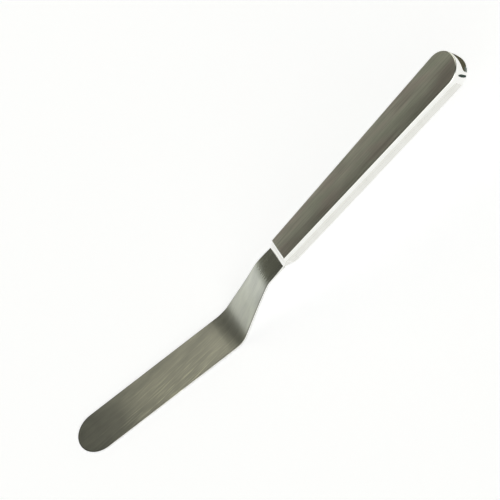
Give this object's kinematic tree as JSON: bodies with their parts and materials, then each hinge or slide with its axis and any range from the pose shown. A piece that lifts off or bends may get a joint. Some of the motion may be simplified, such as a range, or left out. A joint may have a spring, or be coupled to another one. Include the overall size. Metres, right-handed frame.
{
  "type": "offset palette knife",
  "caption": "Offset palette knife, all steel: a round-tipped satin blade cranked up to a flat-faced hollow handle with polished sides.",
  "frame": {"origin": "on the blade's flat underside, on the centre line, half way from the tip to the heel corner", "axes": "-Z out of the blade's underside, +X along the knife from tip to butt, Y across it; the knife is symmetric about y = 0"},
  "size_m": [0.2469, 0.02, 0.0662],
  "materials": {
    "blade_steel": "satin, brushed lengthwise with fine stray scratches",
    "handle_steel": "satin brushed flat face, mirror-polished sides and edges",
    "polished_steel": "mirror-polished stainless steel, not plated",
    "filling_cement": "rough grey-brown handle cement, never seen"
  },
  "bodies": {
    "root": {"blade": "blade_steel", "bolster": "polished_steel", "handle_top_shell": "handle_steel", "handle_bottom_shell": "polished_steel", "handle_filling": "filling_cement"}
  },
  "joints": []
}
